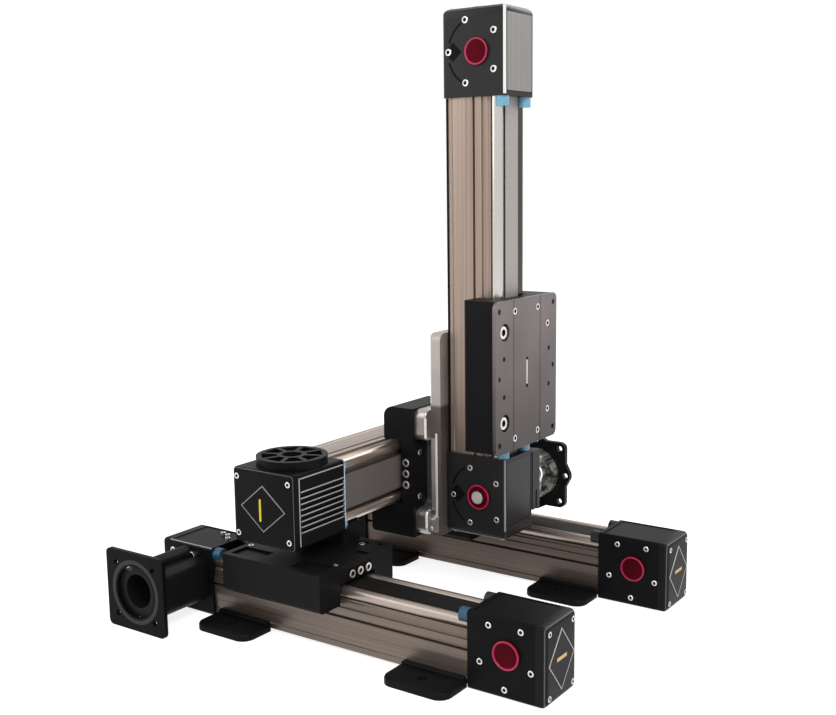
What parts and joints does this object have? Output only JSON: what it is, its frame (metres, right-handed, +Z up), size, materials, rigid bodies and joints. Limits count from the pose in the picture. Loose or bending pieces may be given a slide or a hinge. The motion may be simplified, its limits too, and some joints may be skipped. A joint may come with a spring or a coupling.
{
  "type": "gantry robot",
  "caption": "Three-axis belt gantry robot: paired base rails carry a cross beam, and the beam carries an upright axis with a tool plate.",
  "frame": {"origin": "on the floor at the centre of the outer foot bolt pattern", "axes": "+X along the base rails towards their idler ends, +Y along the cross beam away from the drive block, +Z up"},
  "size_m": [0.333, 0.3035, 0.4378],
  "materials": {
    "anodised_profile": "satin extrusion",
    "polished_rail": "polished shaft",
    "belt_rubber": "ribbed toothed belt",
    "black_housing": "fine satin black",
    "black_carriage": "satin black",
    "bearing_cap": "satin purple",
    "bumper_blue": "matt",
    "pulley_metal": "machined",
    "roller_steel": "ground",
    "bare_aluminium": "bead blasted",
    "grey_plate": "satin anodised"
  },
  "bodies": {
    "base": {"x_profile_front": "anodised_profile", "x_rails_front": "polished_rail", "x_belt_front": "belt_rubber", "x_drive_housing_front": "black_housing", "x_idler_housing_front": "black_housing", "x_profile_rear": "anodised_profile", "x_rails_rear": "polished_rail", "x_belt_rear": "belt_rubber", "x_drive_housing_rear": "black_housing", "x_idler_housing_rear": "black_housing", "x_drive_covers": "black_housing", "x_idler_covers": "black_housing", "x_bearing_caps": "bearing_cap", "x_bumpers": "bumper_blue", "base_feet": "black_housing", "x_motor_adapter": "black_housing", "x_motor_flange": "black_housing"},
    "drive_line": {"x_drive_shaft": "pulley_metal"},
    "front_idler": {"x_idler_pulley_front": "pulley_metal"},
    "rear_idler": {"x_idler_pulley_rear": "pulley_metal"},
    "bridge": {"x_carriage_front": "black_carriage", "x_carriage_rear": "black_carriage", "x_rollers": "roller_steel", "beam_risers": "black_carriage", "y_profile": "anodised_profile", "y_rails": "polished_rail", "y_belt": "belt_rubber", "y_drive_housing": "black_housing", "y_idler_housing": "black_housing", "y_drive_cover": "black_housing", "y_idler_cover": "black_housing", "y_bumpers": "bumper_blue", "y_motor_adapter": "black_housing"},
    "beam_drive": {"y_drive_pulley": "pulley_metal"},
    "beam_idler": {"y_idler_pulley": "pulley_metal"},
    "tool_column": {"y_carriage": "black_carriage", "y_rollers": "roller_steel", "z_bracket": "bare_aluminium", "z_back_plate": "bare_aluminium", "z_profile": "anodised_profile", "z_rails": "polished_rail", "z_belt": "belt_rubber", "z_drive_housing": "black_housing", "z_idler_housing": "black_housing", "z_drive_cover": "black_housing", "z_idler_cover": "black_housing", "z_bearing_caps": "bearing_cap", "z_bumpers": "bumper_blue", "z_motor_adapter": "bare_aluminium", "z_motor_flange": "black_housing"},
    "column_drive": {"z_drive_pulley": "pulley_metal"},
    "column_idler": {"z_idler_pulley": "pulley_metal"},
    "tool_carriage": {"z_carriage": "black_carriage", "z_rollers": "roller_steel", "tool_plate": "grey_plate"}
  },
  "joints": [
    {"name": "x_slide", "type": "slide", "parent": "base", "child": "bridge", "axis": [1, 0, 0], "range_m": [-0.02, 0.09]},
    {"name": "y_slide", "type": "slide", "parent": "bridge", "child": "tool_column", "axis": [0, 1, 0], "range_m": [-0.049, 0.0015]},
    {"name": "z_slide", "type": "slide", "parent": "tool_column", "child": "tool_carriage", "axis": [0, 0, 1], "range_m": [0, 0.132]},
    {"name": "x_drive_turn", "type": "hinge", "parent": "base", "child": "drive_line", "pos_m": [-0.1387, 0, 0.0292], "axis": [0, 1, 0], "range_deg": [-80, 345]},
    {"name": "x_front_idler_turn", "type": "hinge", "parent": "base", "child": "front_idler", "pos_m": [0.1379, -0.093, 0.0292], "axis": [0, 1, 0], "range_deg": [-80, 345]},
    {"name": "x_rear_idler_turn", "type": "hinge", "parent": "base", "child": "rear_idler", "pos_m": [0.1379, 0.093, 0.0292], "axis": [0, 1, 0], "range_deg": [-80, 345]},
    {"name": "y_drive_turn", "type": "hinge", "parent": "bridge", "child": "beam_drive", "pos_m": [-0.0415, -0.1022, 0.0978], "axis": [0, 0, 1], "range_deg": [-155, 5]},
    {"name": "y_idler_turn", "type": "hinge", "parent": "bridge", "child": "beam_idler", "pos_m": [-0.0415, 0.1022, 0.0978], "axis": [0, 0, 1], "range_deg": [-155, 5]},
    {"name": "z_drive_turn", "type": "hinge", "parent": "tool_column", "child": "column_drive", "pos_m": [0.039, 0.0353, 0.0834], "axis": [0, 1, 0], "range_deg": [-506, 1]},
    {"name": "z_idler_turn", "type": "hinge", "parent": "tool_column", "child": "column_idler", "pos_m": [0.039, 0.0353, 0.4064], "axis": [0, 1, 0], "range_deg": [-506, 1]}
  ],
  "couplings": [
    {"joint": "x_drive_turn", "follows": "x_slide", "rad_per_m": 66.445},
    {"joint": "x_front_idler_turn", "follows": "x_slide", "rad_per_m": 66.445},
    {"joint": "x_rear_idler_turn", "follows": "x_slide", "rad_per_m": 66.445},
    {"joint": "y_drive_turn", "follows": "y_slide", "rad_per_m": 54.795},
    {"joint": "y_idler_turn", "follows": "y_slide", "rad_per_m": 54.795},
    {"joint": "z_drive_turn", "follows": "z_slide", "rad_per_m": -66.445},
    {"joint": "z_idler_turn", "follows": "z_slide", "rad_per_m": -66.445}
  ]
}
